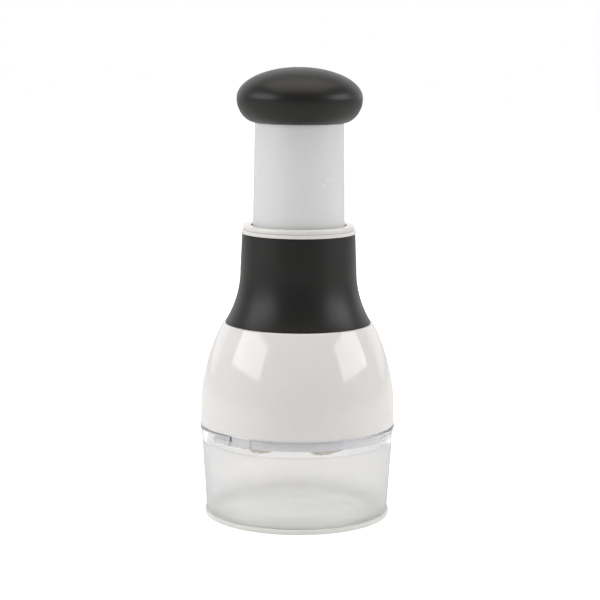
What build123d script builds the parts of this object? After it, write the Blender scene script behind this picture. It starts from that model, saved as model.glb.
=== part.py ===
"""Hand-pressed food chopper.

A sprung plunger drops a carriage of wavy blades into a clear cup. Frame: origin at the middle
of the underside, +Z up, -Y towards the person. Millimetres. The pieces are drawn at rest, with
the plunger up and the bayonet locked. Azimuths are counted from -Y towards +X.
"""
from build123d import *
import os
from math import atan2, degrees, radians, sin, sqrt, tan

# ---------------------------------------------------------------- driving dimensions
# Cup and its pull-off base
cup_height = 45.4           # top of the rim above the table
cup_rim_radius = 47.06      # outside of the wall at the rim
cup_taper = 2.85            # rim's radius less the foot's
cup_wall = 2.2
rim_bead_height = 2.4
rim_bead_proud = 0.35
rim_round = 0.6
foot_chamfer = 0.7
base_lift = 0.3             # hard base above the table, on its soft foot
lip_top = 2.8               # the cup stands on the lip here
lip_proud = 0.9             # lip beyond the cup's foot
lip_round = 1.0
floor_top = 3.0
plug_height = 5.0
plug_wall = 2.0
plug_clearance = 0.15
foot_width = 5.5
foot_inset = 2.1            # foot's edge in from the lip's edge
foot_height = 1.5

# Bayonet between the cup and the housing
bayonet_count = 3
channel_start = -58.0       # closed end of the first channel, degrees
lug_sweep = 13.3
lug_end_gap = 0.1           # degrees between a locked lug and its channel's end
unlock_turn = 15.0
entry_margin = 1.1          # degrees to spare in the open entry
lug_height = 2.0
lug_reach = 1.4             # lug beyond the skirt
slot_clearance = 0.22
skirt_depth = 5.0           # skirt below the cup's rim
skirt_clearance = 0.2
skirt_wall = 2.2

# Housing
rim_gap = 0.15              # housing above the cup's rim
bell_proud = 0.09           # bell beyond the cup's wall
bell_straight = 5.8         # upright stretch at the bell's foot
bell_height = 49.3          # cup's rim to the shelf under the grip
bell_wall = 2.5
shelf_margin = 0.65         # shelf beyond the grip's foot
neck_wall = 1.65
boss_inset = 8.0            # screws in from the plate's edge
boss_radius = 3.5
screw_count = 3
screw_start = 90.0          # azimuth of the first screw, from +X

# Grip sleeve and collar
grip_length = 43.5
grip_wall = 2.0
grip_fit = 0.03
waist_drop = 17.8           # grip's top down to where the flare begins
waist_flare = 0.78          # draft of the stretch above the flare
flare_radius = 48.1
grip_edge_round = 0.8
collar_tier = 2.0           # height of each of the collar's two steps
collar_overhang = 0.3       # lower step beyond the grip
collar_step = 0.8
collar_groove = 0.35
collar_gap = 0.35           # bore of the collar beyond the bush's bore
collar_round = 0.6

# Plunger
tube_show = 48.8            # tube seen between the collar and the knob
tube_top_radius = 21.35
tube_draft = 0.94           # degrees
tube_wall = 2.0
tube_fit = 0.1
bush_clearance = 0.15
bush_wall = 0.85
bush_socket = 1.3           # how far the bush stands up into the collar
stop_height = 5.0
stop_step = 1.5             # the tube steps in by this much to carry the stop
foot_blend = 10.0           # height over which the tube's foot thickens
stop_clearance = 0.25
tube_floor_clearance = 2.0  # tube above the guide plate when fully pressed

# Knob
knob_overhang = 8.8         # knob beyond the tube's top
knob_crown = 14.7           # equator up to the top
knob_belly = 11.8           # equator down to the underside
knob_edge = 9.75            # width of the lower curve
crown_sweep = 86.0          # the crown ends here in a small flat, degrees
core_skin = 4.6             # soft skin over the core's edge
core_height = 14.0
core_rise = 5.9             # underside of the knob up to the core's shoulder
core_round = 3.0
spigot_length = 11.0

# Inner guide, spindle and spring
plate_rise = 26.6           # cup's rim to the plate's underside
plate_thickness = 3.0
plate_clearance = 0.4       # plate in from the bore that it passes and the shoulder that it seats under
tower_wall = 3.5
tower_bush_wall = 1.44
tower_clearance = 5.0       # tower below the spigot when fully pressed
gusset_reach = 3.5
gusset_height = 8.0
gusset_thickness = 1.6
spindle_radius = 4.0
spindle_clearance = 0.06
spindle_socket = 14.0
sleeve_bush_length = 10.0
thread_radius = 2.5
thread_end = 1.0            # thread below the nut
spring_clearance = 0.7      # spring outside the gussets
spring_wire = 1.6
spring_turns = 14
spring_end_gap = 0.1
washer_margin = 4.0         # washer beyond the middle of the spring's wire
washer_clearance = 1.0      # washer's bore beyond the spindle
washer_thickness = 1.5

# Blade carriage
edge_drop = 9.2             # cutting edges below the cup's rim
floor_gap = 0.2             # cutting edges above the floor when fully pressed
blade_height = 17.8
blade_thickness = 0.7
blade_pitch = 14.0          # from one bend to the next
blade_inner_corner = 7.0    # inner corner's distance from the middle
blade_end_inset = 6.5       # ends of a strip in from the carrier's edge, along X
blade_end_y = 8.0           # ends of a strip from the middle, along Y
blade_bend_radius = 4.0
blade_rim_margin = 2.5      # outer bends inside the carrier's edge
tab_length = 5.0
tab_proud = 0.5
carriage_turn = -6.0        # how the carriage happens to stand at rest
carrier_clearance = 5.5     # carrier inside the cup's bore at the floor
carrier_thickness = 3.5
hub_height = 3.5
hub_spigot = 3.0
crown_inner = 10.0
crown_outer = 16.0
crown_body = 4.0
tooth_count = 12
tooth_height = 3.0
tooth_width = 2.4
tooth_inset = 0.5           # teeth in from both edges of their ring
tooth_gap = 0.2             # tips of the teeth to the opposite roots
clamp_thickness = 0.8
clamp_margin = 1.5
rivet_radius = 1.2
rivet_head_radius = 2.2
rivet_head = 1.0
rivet_spots = ((19.0, 0.0), (0.0, 24.0))
ring_gap = 0.2
ring_thickness = 1.0
ring_proud = 2.5
ring_groove = 0.5
nut_height = 4.0
nut_margin = 2.0            # flats of the nut beyond the spindle
nut_gap = 0.1
screw_radius = 2.0
screw_head_radius = 4.0
screw_head = 3.5
screw_gap = 2.0             # screw's end above the bottom of its hole
screw_key_depth = 1.75
plate_screw_radius = 1.2
plate_screw_head_radius = 3.0
plate_screw_head = 2.0
plate_screw_length = 12.0
driver_slot_width = 0.7
driver_slot_depth = 0.5
fastener_fit = 0.05
cut_margin = 1.0            # cutters reach this far past what they cut
root_overlap = 1.0          # ribs and tabs start this far inside what they grow from

# ---------------------------------------------------------------- levels and radii that follow
edge_z = cup_height - edge_drop
stroke = edge_z - floor_top - floor_gap
skirt_z = cup_height - skirt_depth
bell_z = cup_height + rim_gap
straight_z = cup_height + bell_straight
shelf_z = cup_height + bell_height
grip_top_z = shelf_z + grip_length
waist_z = grip_top_z - waist_drop
collar_top_z = grip_top_z + 2 * collar_tier
knob_z = collar_top_z + tube_show
equator_z = knob_z + knob_belly
core_z = knob_z + core_rise
core_top_z = core_z + core_height
spigot_z = core_z - spigot_length
washer_z = spigot_z - washer_thickness
plate_z = cup_height + plate_rise
plate_top_z = plate_z + plate_thickness
tube_end_z = plate_top_z + stroke + tube_floor_clearance
stop_top_z = tube_end_z + stop_height
tower_top_z = spigot_z - stroke - tower_clearance
spindle_top_z = spigot_z + spindle_socket
carrier_z = edge_z + blade_height
carrier_top_z = carrier_z + carrier_thickness
hub_z = carrier_top_z + hub_height
hub_top_z = hub_z + hub_spigot
crown_z = hub_z + crown_body
clamp_top_z = carrier_top_z + clamp_thickness
cup_foot_radius = cup_rim_radius - cup_taper


def cup_outer(z):
    """Outside radius of the cup's wall."""
    share = (z - lip_top) / (cup_height - lip_top)
    return cup_foot_radius + (cup_rim_radius - cup_foot_radius) * share


def cup_inner(z):
    return cup_outer(z) - cup_wall


def tube_outer(z):
    """Outside radius of the drafted plunger tube."""
    return tube_top_radius + (knob_z - z) * tan(radians(tube_draft))


lip_radius = cup_foot_radius + lip_proud
plug_radius = cup_inner(lip_top) - plug_clearance
skirt_radius = cup_inner(skirt_z) - skirt_clearance
skirt_bore = skirt_radius - skirt_wall
slot_radius = skirt_radius + lug_reach + slot_clearance
bell_radius = cup_rim_radius + bell_proud

tube_foot_radius = tube_outer(stop_top_z) - stop_step
bush_bore = tube_outer(stop_top_z) + bush_clearance
neck_bore = bush_bore + bush_wall
neck_top_radius = neck_bore + neck_wall
grip_top_radius = neck_top_radius + grip_fit + grip_wall
flare_centre = grip_top_radius + waist_flare + flare_radius


def flare(z, inset=0.0):
    """Radius of the grip's flare, or of the surface a given depth beneath it."""
    return flare_centre - sqrt((flare_radius + inset) ** 2 - (waist_z - z) ** 2)


neck_inset = grip_wall + grip_fit
grip_foot_radius = flare(shelf_z)
shelf_radius = grip_foot_radius + shelf_margin
bell_run = bell_radius - shelf_radius
bell_arc = (bell_run**2 + (shelf_z - straight_z) ** 2) / (2 * bell_run)
knob_radius = tube_top_radius + knob_overhang
tower_bore = spindle_radius + spindle_clearance + tower_bush_wall
tower_radius = tower_bore + tower_wall
spring_radius = tower_radius + gusset_reach + spring_clearance + spring_wire / 2
washer_radius = spring_radius + washer_margin
nut_flat = 2 * (spindle_radius + nut_margin)
carrier_radius = cup_inner(floor_top) - carrier_clearance
blade_end_x = carrier_radius - blade_end_inset


def bell(z, inset=0.0):
    """Radius of the bell's shoulder, or of the surface a given depth beneath it."""
    return bell_radius - bell_arc + sqrt((bell_arc - inset) ** 2 - (z - straight_z) ** 2)


plate_radius = min(skirt_bore, bell(plate_top_z, bell_wall)) - plate_clearance
boss_circle = plate_radius - boss_inset


# ---------------------------------------------------------------- helpers
def turned(*lines):
    """Solid of revolution about Z from an outline of (radius, height) lines."""
    edges = [edge for line in lines for edge in line.edges()]
    return revolve(Plane.XZ * make_face(edges), Axis.Z)


def ring(inner, outer, low, high):
    """Plain ring, or a disc where the inner radius is 0."""
    corners = [(inner, low), (outer, low), (outer, high), (inner, high), (inner, low)]
    return turned(Polyline(*corners))


def sector(inner, outer, low, high, start, sweep):
    """Part of a ring, from an azimuth over a sweep in degrees."""
    corners = [(inner, low), (outer, low), (outer, high), (inner, high), (inner, low)]
    face = Plane.XZ * make_face(Polyline(*corners).edges())
    return Rot(0, 0, start - 90) * revolve(face, Axis.Z, revolution_arc=sweep)


def around(count, first=0.0):
    """Equal turns about Z, in degrees."""
    return [first + 360 * i / count for i in range(count)]


def circle_edges(solid, radius, z):
    """The round edges of a solid that have this radius and height."""
    found = []
    for edge in solid.edges().filter_by(GeomType.CIRCLE):
        if abs(edge.radius - radius) < 0.01 and abs(edge.arc_center.Z - z) < 0.01:
            found.append(edge)
    return found


def rounded(solid, amount, *places):
    """The solid with its round edges at the given (radius, height) places filleted."""
    edges = [edge for place in places for edge in circle_edges(solid, *place)]
    return fillet(edges, amount)


def arc_to(low, high, radius_at, **inset):
    """Arc of an outline between two heights, on a surface given as a radius for a height."""
    middle = (low + high) / 2
    points = [(radius_at(z, **inset), z) for z in (low, middle, high)]
    return ThreePointArc(*points)


def peg(radius, low, high, x=0.0, y=0.0):
    """Upright cylinder."""
    return Pos(x, y, low) * Cylinder(radius, high - low, align=(Align.CENTER, Align.CENTER, Align.MIN))


# ---------------------------------------------------------------- cup and base
def make_cup():
    bead_z = cup_height - rim_bead_height
    bead_radius = cup_rim_radius + rim_bead_proud
    outline = Polyline(
        (cup_inner(lip_top), lip_top),
        (cup_outer(lip_top) - foot_chamfer, lip_top),
        (cup_outer(lip_top + foot_chamfer), lip_top + foot_chamfer),
        (cup_outer(bead_z), bead_z),
        (bead_radius, bead_z + rim_bead_proud),
        (bead_radius, cup_height),
        (cup_inner(cup_height), cup_height),
        (cup_inner(lip_top), lip_top),
    )
    cup = rounded(turned(outline), rim_round, (bead_radius, cup_height))
    slot_inner = cup_inner(skirt_z) - cup_wall
    slot_z = skirt_z - slot_clearance
    channel_sweep = lug_sweep + unlock_turn + lug_end_gap + entry_margin
    entry_sweep = lug_sweep + entry_margin + lug_end_gap
    for turn in around(bayonet_count, channel_start):
        channel_top = skirt_z + lug_height + slot_clearance
        cup -= sector(slot_inner, slot_radius, slot_z, channel_top, turn, channel_sweep)
        entry_start = turn + channel_sweep - entry_sweep
        cup -= sector(slot_inner, slot_radius, slot_z, cup_height + cut_margin, entry_start, entry_sweep)
    return cup


def foot_radii():
    outer = lip_radius - foot_inset
    return outer - foot_width, outer


def make_cup_base():
    outline = Polyline(
        (0, base_lift),
        (lip_radius, base_lift),
        (lip_radius, lip_top),
        (plug_radius, lip_top),
        (plug_radius, lip_top + plug_height),
        (plug_radius - plug_wall, lip_top + plug_height),
        (plug_radius - plug_wall, floor_top),
        (0, floor_top),
        (0, base_lift),
    )
    base = rounded(turned(outline), lip_round, (lip_radius, base_lift), (lip_radius, lip_top))
    return base - ring(*foot_radii(), base_lift - cut_margin, foot_height)


def make_base_foot():
    return ring(*foot_radii(), 0, foot_height)


# ---------------------------------------------------------------- housing
def make_housing_bell():
    shelf_under = shelf_z - bell_wall
    neck_thickness = neck_inset + neck_wall
    neck_radius_at_waist = flare(waist_z, neck_inset)
    skirt_top = bell_z + skirt_wall
    outside = [
        Polyline((skirt_bore, skirt_z), (skirt_radius, skirt_z), (skirt_radius, bell_z),
                 (bell_radius, bell_z), (bell_radius, straight_z)),
        arc_to(straight_z, shelf_z, bell),
        Line((shelf_radius, shelf_z), (flare(shelf_z, neck_inset), shelf_z)),
        arc_to(shelf_z, waist_z, flare, inset=neck_inset),
        Polyline((neck_radius_at_waist, waist_z), (neck_top_radius, grip_top_z),
                 (neck_bore, grip_top_z), (neck_bore, waist_z),
                 (flare(waist_z, neck_thickness), waist_z)),
    ]
    inside = [
        arc_to(shelf_under, waist_z, flare, inset=neck_thickness),
        Line((flare(shelf_under, neck_thickness), shelf_under), (bell(shelf_under, bell_wall), shelf_under)),
        arc_to(straight_z, shelf_under, bell, inset=bell_wall),
        Polyline((bell(straight_z, bell_wall), straight_z), (skirt_bore, skirt_top), (skirt_bore, skirt_z)),
    ]
    housing = turned(*outside, *inside)
    within = turned(
        Polyline((bell(shelf_z, bell_wall / 2), shelf_z - bell_wall / 2), (0, shelf_z - bell_wall / 2),
                 (0, straight_z), (bell(straight_z, bell_wall / 2), straight_z)),
        arc_to(straight_z, shelf_z - bell_wall / 2, bell, inset=bell_wall / 2),
        Line((bell(shelf_z - bell_wall / 2, bell_wall / 2), shelf_z - bell_wall / 2),
             (bell(shelf_z, bell_wall / 2), shelf_z - bell_wall / 2)),
    )
    for turn in around(screw_count, screw_start):
        boss = Rot(0, 0, turn) * peg(boss_radius, plate_top_z, shelf_z, boss_circle)
        hole_top_z = plate_top_z + plate_screw_length + cut_margin
        hole = peg(plate_screw_radius + fastener_fit, plate_z, hole_top_z, boss_circle)
        housing += boss & within
        housing -= Rot(0, 0, turn) * hole
    for turn in around(bayonet_count, channel_start + lug_end_gap):
        root = skirt_radius - skirt_wall / 2
        tip = skirt_radius + lug_reach
        housing += sector(root, tip, skirt_z, skirt_z + lug_height, turn, lug_sweep)
    return housing


def make_grip_sleeve():
    sleeve = turned(
        Line((neck_top_radius + grip_fit, grip_top_z), (grip_top_radius, grip_top_z)),
        Line((grip_top_radius, grip_top_z), (flare(waist_z), waist_z)),
        arc_to(shelf_z, waist_z, flare),
        Line((grip_foot_radius, shelf_z), (flare(shelf_z, grip_wall), shelf_z)),
        arc_to(shelf_z, waist_z, flare, inset=grip_wall),
        Line((flare(waist_z, grip_wall), waist_z), (neck_top_radius + grip_fit, grip_top_z)),
    )
    return rounded(sleeve, grip_edge_round, (grip_foot_radius, shelf_z), (grip_top_radius, grip_top_z))


def make_neck_collar():
    low_radius = grip_top_radius + collar_overhang
    high_radius = low_radius - collar_step
    bore = bush_bore + collar_gap
    groove_z = grip_top_z + collar_tier
    socket_z = grip_top_z + bush_socket
    outline = Polyline(
        (neck_bore, grip_top_z),
        (low_radius, grip_top_z),
        (low_radius, groove_z - collar_groove),
        (high_radius - collar_groove, groove_z - collar_groove),
        (high_radius - collar_groove, groove_z),
        (high_radius, groove_z),
        (high_radius, collar_top_z),
        (bore, collar_top_z),
        (bore, socket_z),
        (neck_bore, socket_z),
        (neck_bore, grip_top_z),
    )
    collar = turned(outline)
    return rounded(collar, collar_round, (low_radius, groove_z - collar_groove), (high_radius, collar_top_z))


def make_neck_bush():
    return ring(bush_bore, neck_bore, stop_top_z, grip_top_z + bush_socket)


def make_inner_guide():
    guide = ring(0, plate_radius, plate_z, plate_top_z)
    guide += peg(tower_radius, plate_top_z, tower_top_z)
    root = tower_radius - root_overlap
    foot = tower_radius + gusset_reach
    corners = [(root, plate_top_z), (foot, plate_top_z), (root, plate_top_z + gusset_height), (root, plate_top_z)]
    face = Plane.XZ * make_face(Polyline(*corners).edges())
    gusset = extrude(face, gusset_thickness / 2, both=True)
    for turn in around(screw_count, screw_start):
        guide += Rot(0, 0, turn) * gusset
        guide -= Rot(0, 0, turn) * peg(plate_screw_radius + fastener_fit, plate_z, plate_top_z, boss_circle)
    return guide - peg(tower_bore, plate_z, tower_top_z)


def make_guide_screws():
    screw = peg(plate_screw_radius, plate_z, plate_top_z + plate_screw_length, boss_circle)
    screw += peg(plate_screw_head_radius, plate_z - plate_screw_head, plate_z, boss_circle)
    slot = Pos(boss_circle, 0, plate_z - plate_screw_head)
    slot_length = 2 * (plate_screw_head_radius + cut_margin)
    screw -= slot * Box(slot_length, driver_slot_width, 2 * driver_slot_depth)
    return Compound([Rot(0, 0, turn) * screw for turn in around(screw_count, screw_start)])


def make_spindle_bushes():
    bore = spindle_radius + spindle_clearance
    low = ring(bore, tower_bore, plate_z, plate_z + sleeve_bush_length)
    high = ring(bore, tower_bore, tower_top_z - sleeve_bush_length, tower_top_z)
    return Compound([low.solid(), high.solid()])


def saw_tooth(up):
    """One tooth at azimuth 90, its root at height 0, pointing up or down."""
    half = tooth_width / 2
    corners = [(-half, 0), (half, 0), (half * up, tooth_height * up), (-half, 0)]
    inner = crown_inner + tooth_inset
    outer = crown_outer - tooth_inset
    face = Plane.YZ * make_face(Polyline(*corners).edges())
    return Pos(inner, 0, 0) * extrude(face, outer - inner)


def make_index_ring():
    """Fixed saw teeth, half a pitch from the carriage's, with their upright sides facing theirs."""
    root_z = crown_z + tooth_height + tooth_gap
    index = ring(crown_inner, crown_outer, root_z, plate_z)
    for turn in around(tooth_count, carriage_turn + 180 / tooth_count):
        index += Rot(0, 0, turn) * (Pos(0, 0, root_z) * saw_tooth(-1))
    return index


# ---------------------------------------------------------------- plunger
def make_plunger_tube():
    foot_bore = tube_outer(tube_end_z) - tube_wall - stop_step / 2
    outline = Polyline(
        (foot_bore, tube_end_z),
        (tube_foot_radius, tube_end_z),
        (tube_foot_radius, stop_top_z),
        (tube_outer(stop_top_z), stop_top_z),
        (tube_outer(core_z), core_z),
        (tube_outer(core_z) - tube_wall, core_z),
        (tube_outer(core_z) - tube_wall, tube_end_z + foot_blend),
        (foot_bore, tube_end_z),
    )
    return turned(outline)


def make_tube_stop():
    return ring(tube_foot_radius, neck_bore - stop_clearance, tube_end_z, stop_top_z)


def make_knob_core():
    radius = knob_radius - core_skin
    core = rounded(ring(0, radius, core_z, core_top_z), core_round, (radius, core_z), (radius, core_top_z))
    core += peg(tube_outer(core_z) - tube_wall - tube_fit, spigot_z, core_z)
    core -= peg(spindle_radius, spigot_z, spindle_top_z)
    core -= peg(screw_radius + fastener_fit, spindle_top_z, core_top_z)
    return core - peg(screw_head_radius + fastener_fit, core_top_z - screw_head, core_top_z)


def make_knob_grip():
    """Soft cap: an elliptical crown and belly around the core and the top of the tube."""
    edge_centre = knob_radius - knob_edge
    hole = tube_outer(knob_z) + tube_fit
    hole_share = (hole - edge_centre) / knob_edge
    hole_z = equator_z - knob_belly * sqrt(1 - hole_share**2)
    belly_sweep = degrees(atan2(equator_z - hole_z, knob_belly * hole_share))
    inside = knob_radius - core_skin + tube_fit
    corner = inside - core_round
    low = core_z - tube_fit
    high = core_top_z + tube_fit
    crown = EllipticalCenterArc((0, equator_z), knob_radius, knob_crown, 0, arc_size=crown_sweep)
    flat_z = (crown @ 1).Y
    return turned(
        crown,
        EllipticalCenterArc((edge_centre, equator_z), knob_edge, knob_belly, 0, arc_size=-belly_sweep),
        Polyline((hole, hole_z), (hole, low), (corner, low)),
        CenterArc((corner, low + core_round), core_round, -90, 90),
        Line((inside, low + core_round), (inside, high - core_round)),
        CenterArc((corner, high - core_round), core_round, 0, 90),
        Polyline((corner, high), (0, high), (0, flat_z), ((crown @ 1).X, flat_z)),
    )


def make_knob_screw():
    screw = peg(screw_radius, spindle_top_z - spindle_socket + screw_gap, core_top_z)
    screw += peg(screw_head_radius, core_top_z - screw_head, core_top_z)
    hexagon = RegularPolygon(screw_radius, 6)
    return screw - Pos(0, 0, core_top_z - screw_key_depth) * extrude(hexagon, screw_head)


def make_spindle():
    spindle = peg(spindle_radius, carrier_z, spindle_top_z)
    spindle += peg(thread_radius, carrier_z - nut_height - nut_gap - thread_end, carrier_z)
    spindle -= peg(screw_radius, spindle_top_z - spindle_socket, spindle_top_z)
    groove_z = hub_top_z + ring_gap
    groove_top_z = groove_z + ring_thickness
    return spindle - ring(spindle_radius - ring_groove, spindle_radius + cut_margin, groove_z, groove_top_z)


def make_retaining_ring():
    low = hub_top_z + ring_gap
    circlip = ring(spindle_radius - ring_groove, spindle_radius + ring_proud, low, low + ring_thickness)
    gap = Pos(spindle_radius + ring_proud, 0, low + ring_thickness / 2)
    return circlip - gap * Box(spindle_radius + ring_proud, spindle_radius, 2 * ring_thickness)


def make_end_nut():
    top = carrier_z - nut_gap
    hexagon = RegularPolygon(nut_flat / 2, 6, major_radius=False)
    nut = Pos(0, 0, top - nut_height) * extrude(hexagon, nut_height)
    return nut - peg(thread_radius, top - nut_height - cut_margin, top + cut_margin)


def make_spring_washer():
    return ring(spindle_radius + washer_clearance, washer_radius, washer_z, spigot_z)


def make_return_spring():
    low = plate_top_z + spring_end_gap + spring_wire / 2
    high = washer_z - spring_end_gap - spring_wire / 2
    path = Helix((high - low) / spring_turns, high - low, spring_radius, center=(0, 0, low))
    section = Plane(origin=path @ 0, z_dir=path % 0) * Circle(spring_wire / 2)
    return sweep(section, path=path, is_frenet=True)


# ---------------------------------------------------------------- blade carriage
def turned_carriage(solid):
    """The carriage is drawn square and stands turned on its spindle."""
    return Rot(0, 0, carriage_turn) * solid


def outer_corner():
    """Where the straight legs would meet beyond an outer bend, on the -Y side."""
    reach = sqrt((carrier_radius - blade_rim_margin) ** 2 - blade_pitch**2)
    half_angle = atan2(blade_pitch, reach - blade_inner_corner)
    return reach + blade_bend_radius * (1 / sin(half_angle) - 1)


def blade_path():
    corner_y = outer_corner()
    return FilletPolyline(
        (-blade_end_x, -blade_end_y),
        (-blade_pitch, -corner_y),
        (0, -blade_inner_corner),
        (blade_pitch, -corner_y),
        (blade_end_x, -blade_end_y),
        radius=blade_bend_radius,
    )


def tab_places():
    """Middle and direction of the tab on each outer leg of the front blade."""
    corner_y = outer_corner()
    middle_x = (blade_pitch + blade_end_x) / 2
    middle_y = -(corner_y + blade_end_y) / 2
    angle = degrees(atan2(corner_y - blade_end_y, blade_end_x - blade_pitch))
    return [(middle_x, middle_y, angle), (-middle_x, middle_y, -angle)]


def tab_blocks(low, high, clearance=0.0):
    length = tab_length + 2 * clearance
    thickness = blade_thickness + 2 * clearance
    blocks = []
    for x, y, angle in tab_places():
        block = Box(length, thickness, high - low, align=(Align.CENTER, Align.CENTER, Align.MIN))
        blocks.append(Pos(x, y, low) * Rot(0, 0, angle) * block)
    return blocks


def make_blade(turn):
    strip = Pos(0, 0, edge_z) * extrude(trace(blade_path(), blade_thickness), blade_height)
    for block in tab_blocks(carrier_z - root_overlap, clamp_top_z + tab_proud):
        strip += block
    return turned_carriage(Rot(0, 0, turn) * strip)


def all_tab_slots(low, high):
    return [Rot(0, 0, turn) * block for turn in (0, 180) for block in tab_blocks(low, high, fastener_fit)]


def rivet_places():
    return [(x * side, y * side) for x, y in rivet_spots for side in (-1, 1)]


def make_blade_carrier():
    carrier = ring(spindle_radius + spindle_clearance, carrier_radius, carrier_z, carrier_top_z)
    carrier += ring(spindle_radius + spindle_clearance, crown_outer, carrier_top_z, hub_z)
    carrier += ring(spindle_radius + spindle_clearance, crown_inner, hub_z, hub_top_z)
    for slot in all_tab_slots(carrier_z - cut_margin, carrier_top_z + cut_margin):
        carrier -= slot
    for x, y in rivet_places():
        carrier -= peg(rivet_radius, carrier_z - cut_margin, carrier_top_z + cut_margin, x, y)
    return turned_carriage(carrier)


def make_carriage_crown():
    crown = ring(crown_inner, crown_outer, hub_z, crown_z)
    for turn in around(tooth_count):
        crown += Rot(0, 0, turn) * (Pos(0, 0, crown_z) * saw_tooth(1))
    return turned_carriage(crown)


def make_blade_clamp():
    clamp = ring(crown_outer + clamp_margin, carrier_radius - clamp_margin, carrier_top_z, clamp_top_z)
    for slot in all_tab_slots(carrier_top_z - cut_margin, clamp_top_z + cut_margin):
        clamp -= slot
    for x, y in rivet_places():
        clamp -= peg(rivet_radius, carrier_top_z - cut_margin, clamp_top_z + cut_margin, x, y)
    return turned_carriage(clamp)


def make_blade_rivets():
    rivets = []
    for x, y in rivet_places():
        rivet = peg(rivet_radius, carrier_z, clamp_top_z, x, y)
        rivet += peg(rivet_head_radius, carrier_z - rivet_head, carrier_z, x, y)
        rivet += peg(rivet_head_radius, clamp_top_z, clamp_top_z + rivet_head, x, y)
        rivets.append(turned_carriage(rivet).solid())
    return Compound(rivets)


# ---------------------------------------------------------------- write one file per piece
pieces = {
    "cup": make_cup(),
    "cup_base": make_cup_base(),
    "base_foot": make_base_foot(),
    "housing_bell": make_housing_bell(),
    "grip_sleeve": make_grip_sleeve(),
    "neck_collar": make_neck_collar(),
    "neck_bush": make_neck_bush(),
    "inner_guide": make_inner_guide(),
    "guide_screws": make_guide_screws(),
    "spindle_bushes": make_spindle_bushes(),
    "index_ring": make_index_ring(),
    "return_spring": make_return_spring(),
    "knob_grip": make_knob_grip(),
    "knob_core": make_knob_core(),
    "knob_screw": make_knob_screw(),
    "plunger_tube": make_plunger_tube(),
    "tube_stop": make_tube_stop(),
    "spring_washer": make_spring_washer(),
    "spindle": make_spindle(),
    "retaining_ring": make_retaining_ring(),
    "end_nut": make_end_nut(),
    "blade_carrier": make_blade_carrier(),
    "carriage_crown": make_carriage_crown(),
    "blade_clamp": make_blade_clamp(),
    "blade_rivets": make_blade_rivets(),
    "blade_front": make_blade(0),
    "blade_back": make_blade(180),
}

os.makedirs("parts", exist_ok=True)
for name, piece in pieces.items():
    export_step(piece, f"parts/{name}.step")
print(f"{len(pieces)} pieces, stroke {stroke:.1f} mm, knob's equator at {equator_z:.1f} mm")
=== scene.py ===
# %% [markdown]
# # A hand-pressed food chopper
# A round soft knob sits on a white plunger tube. Pressing it drops a carriage of wavy blades into
# a clear cup. The moving frame comes ready made: every piece of it is already in its place, in
# metres, standing on z = 0. This lesson gives each piece the shape and the finish of the real one.

# %% Load the frame
import bpy
from math import atan2, cos, hypot, pi, radians, sin, sqrt
from mathutils import Matrix, Vector


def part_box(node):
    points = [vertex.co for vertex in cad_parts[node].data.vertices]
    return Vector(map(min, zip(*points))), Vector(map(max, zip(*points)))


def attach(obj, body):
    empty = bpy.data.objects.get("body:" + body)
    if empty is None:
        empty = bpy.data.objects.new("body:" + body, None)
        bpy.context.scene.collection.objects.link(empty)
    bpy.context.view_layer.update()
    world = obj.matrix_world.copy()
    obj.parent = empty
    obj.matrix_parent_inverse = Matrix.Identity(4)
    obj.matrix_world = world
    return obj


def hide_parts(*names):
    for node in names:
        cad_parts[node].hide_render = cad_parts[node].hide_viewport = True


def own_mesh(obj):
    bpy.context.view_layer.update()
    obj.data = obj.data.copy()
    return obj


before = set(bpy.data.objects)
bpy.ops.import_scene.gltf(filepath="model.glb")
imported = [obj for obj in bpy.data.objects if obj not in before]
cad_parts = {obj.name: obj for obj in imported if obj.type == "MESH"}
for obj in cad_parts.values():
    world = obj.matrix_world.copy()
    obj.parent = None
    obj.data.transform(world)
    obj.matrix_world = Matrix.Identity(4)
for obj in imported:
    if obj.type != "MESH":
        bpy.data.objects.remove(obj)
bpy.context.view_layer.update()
MM = 0.001
print("pieces in the frame:", len(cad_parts))

# %% [markdown]
# ## The camera
# A product shot is taken from a little above the object with a long lens, so that upright lines
# stay nearly parallel. The camera stands about 0.9 m away and looks down by less than ten
# degrees. A very small turn and roll are part of any real tripod, and they are kept here.

# %% Camera
CAMERA_DISTANCE = 0.9045
CAMERA_HEIGHT = 0.2423
CAMERA_LENS = 113.25
LOOK_DOWN = radians(8.61)
LOOK_RIGHT = radians(0.055)
CAMERA_ROLL = radians(0.45)

camera_data = bpy.data.cameras.new("camera")
camera_data.lens = CAMERA_LENS
camera_data.sensor_width = 36
camera = bpy.data.objects.new("camera", camera_data)
bpy.context.scene.collection.objects.link(camera)
aim = Matrix.Rotation(-LOOK_RIGHT, 4, "Z") @ Matrix.Rotation(pi / 2 - LOOK_DOWN, 4, "X")
camera.matrix_world = (
    Matrix.Translation((0, -CAMERA_DISTANCE, CAMERA_HEIGHT)) @ aim @ Matrix.Rotation(CAMERA_ROLL, 4, "Z")
)
bpy.context.scene.camera = camera
bpy.context.scene.view_settings.view_transform = "Standard"
print("camera at", [round(c, 3) for c in camera.location])

# %% [markdown]
# ## Small helpers for node trees
# Lamps aside, every look in this lesson is a tree of nodes. Three short functions add a node with
# its values, mix two colours and map a value from one range to another.


# %% Building node trees
def add(tree, kind, operation=None, **values):
    """A node with the given input values; names with _ stand for names with spaces."""
    made = tree.nodes.new(kind)
    if operation:
        made.operation = operation
    for key, value in values.items():
        made.inputs[key.replace("_", " ")].default_value = value
    return made


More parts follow.
